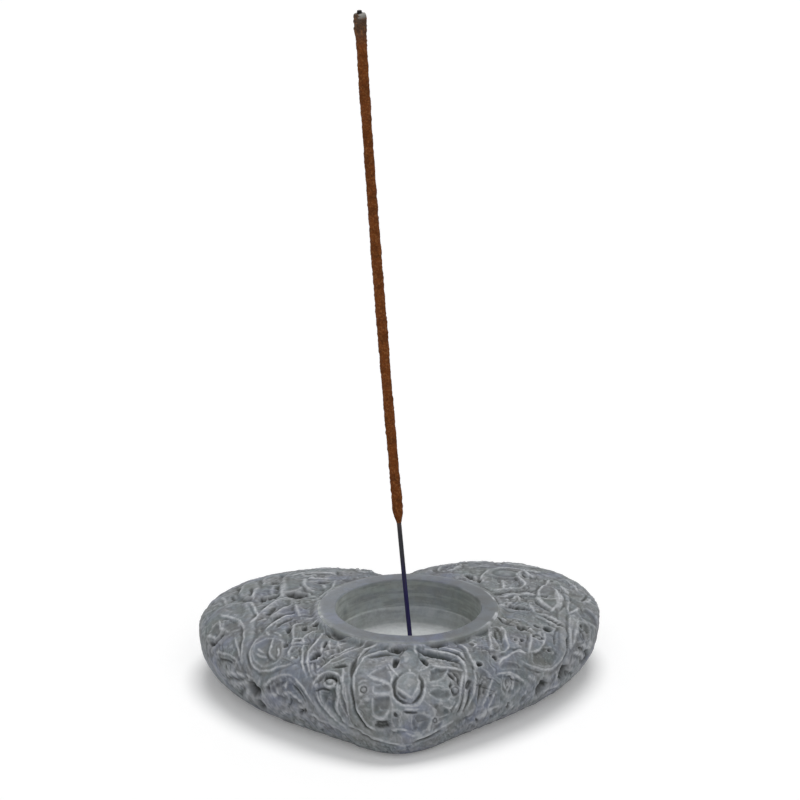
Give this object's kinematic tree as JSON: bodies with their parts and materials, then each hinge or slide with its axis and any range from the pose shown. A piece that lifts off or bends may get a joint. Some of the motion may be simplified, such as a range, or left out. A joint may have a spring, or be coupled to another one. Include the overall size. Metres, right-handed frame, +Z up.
{
  "type": "incense holder",
  "caption": "Heart-shaped incense holder carved from grey soapstone, with a turned cup and a leaning incense stick that lifts out of its hole.",
  "frame": {"origin": "on the flat underside, where the heart's mid-plane meets the plane through the axis of the cup", "axes": "+Z up, the tip of the heart towards -Y, +X to the right as seen from the tip"},
  "size_m": [0.1142, 0.1011, 0.1948],
  "materials": {
    "soapstone": "matt, hand carved, with worn pale ridges",
    "dyed_bamboo": "split bamboo, dyed violet at the lower end",
    "incense_paste": "dry rolled powder paste, grainy and matt"
  },
  "bodies": {
    "holder": {"stone_heart": "soapstone"},
    "stick": {"bamboo_core": "dyed_bamboo", "incense_paste": "incense_paste"}
  },
  "joints": [
    {"name": "stick_lift", "type": "slide", "parent": "holder", "child": "stick", "axis": [-0.0958, 0, 0.9954], "range_m": [0, 0.03]}
  ]
}
